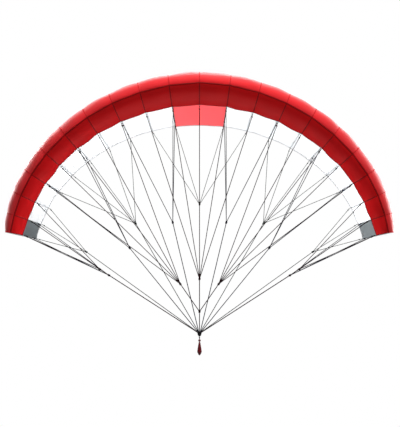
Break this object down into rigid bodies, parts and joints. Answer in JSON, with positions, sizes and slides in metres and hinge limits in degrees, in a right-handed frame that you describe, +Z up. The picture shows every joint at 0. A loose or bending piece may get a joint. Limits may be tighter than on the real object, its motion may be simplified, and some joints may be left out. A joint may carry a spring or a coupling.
{
  "type": "parawing",
  "caption": "Small single-skin foil parawing flying in a high arch, with an inflated red nose, cloth ribs, three rows of gathered lines and a drop-shaped hand grip.",
  "frame": {"origin": "the small flat lower end of the grip, the lowest point, under the middle of the wing", "axes": "+X along the span to the right as seen from the front, +Y backwards along the chord, +Z up towards the wing"},
  "size_m": [2.3572, 0.8091, 1.6163],
  "materials": {
    "red_cloth": "bright red ripstop, satin",
    "dark_red_cloth": "deep red ripstop, satin",
    "pale_red_cloth": "thin red ripstop, light shows through",
    "white_cloth": "white ripstop, light shows through",
    "grey_cloth": "grey ripstop, satin",
    "rib_cloth": "pale ripstop",
    "front_line": "braided line, dark red-brown",
    "mid_line": "braided line, dark blue-grey",
    "brake_line": "thin braided line, green-grey",
    "sleeve": "black webbing and cord",
    "grip": "dark red lacquer"
  },
  "bodies": {
    "root": {"centre_panel": "pale_red_cloth", "rib_middle": "rib_cloth", "nose_skin_left": "red_cloth", "nose_underside_left": "dark_red_cloth", "white_panel_left": "white_cloth", "tip_panel_left": "grey_cloth", "rib_left_01": "rib_cloth", "rib_left_02": "rib_cloth", "rib_left_03": "rib_cloth", "rib_left_04": "rib_cloth", "rib_left_05": "rib_cloth", "rib_left_06": "rib_cloth", "rib_left_07": "rib_cloth", "rib_left_08": "rib_cloth", "rib_left_09": "rib_cloth", "rib_left_10": "rib_cloth", "nose_skin_right": "red_cloth", "nose_underside_right": "dark_red_cloth", "white_panel_right": "white_cloth", "tip_panel_right": "grey_cloth", "rib_right_01": "rib_cloth", "rib_right_02": "rib_cloth", "rib_right_03": "rib_cloth", "rib_right_04": "rib_cloth", "rib_right_05": "rib_cloth", "rib_right_06": "rib_cloth", "rib_right_07": "rib_cloth", "rib_right_08": "rib_cloth", "rib_right_09": "rib_cloth", "rib_right_10": "rib_cloth", "front_lines_middle": "front_line", "brake_lines_middle": "brake_line", "front_lines_outer_left": "front_line", "mid_lines_1_left": "mid_line", "mid_lines_2_left": "mid_line", "mid_lines_3_left": "mid_line", "brake_lines_inner_left": "brake_line", "brake_lines_outer_left": "brake_line", "front_lines_outer_right": "front_line", "mid_lines_1_right": "mid_line", "mid_lines_2_right": "mid_line", "mid_lines_3_right": "mid_line", "brake_lines_inner_right": "brake_line", "brake_lines_outer_right": "brake_line", "line_sleeve": "sleeve", "grip_link": "sleeve", "grip_ball": "grip", "grip_drop": "grip"}
  },
  "joints": []
}
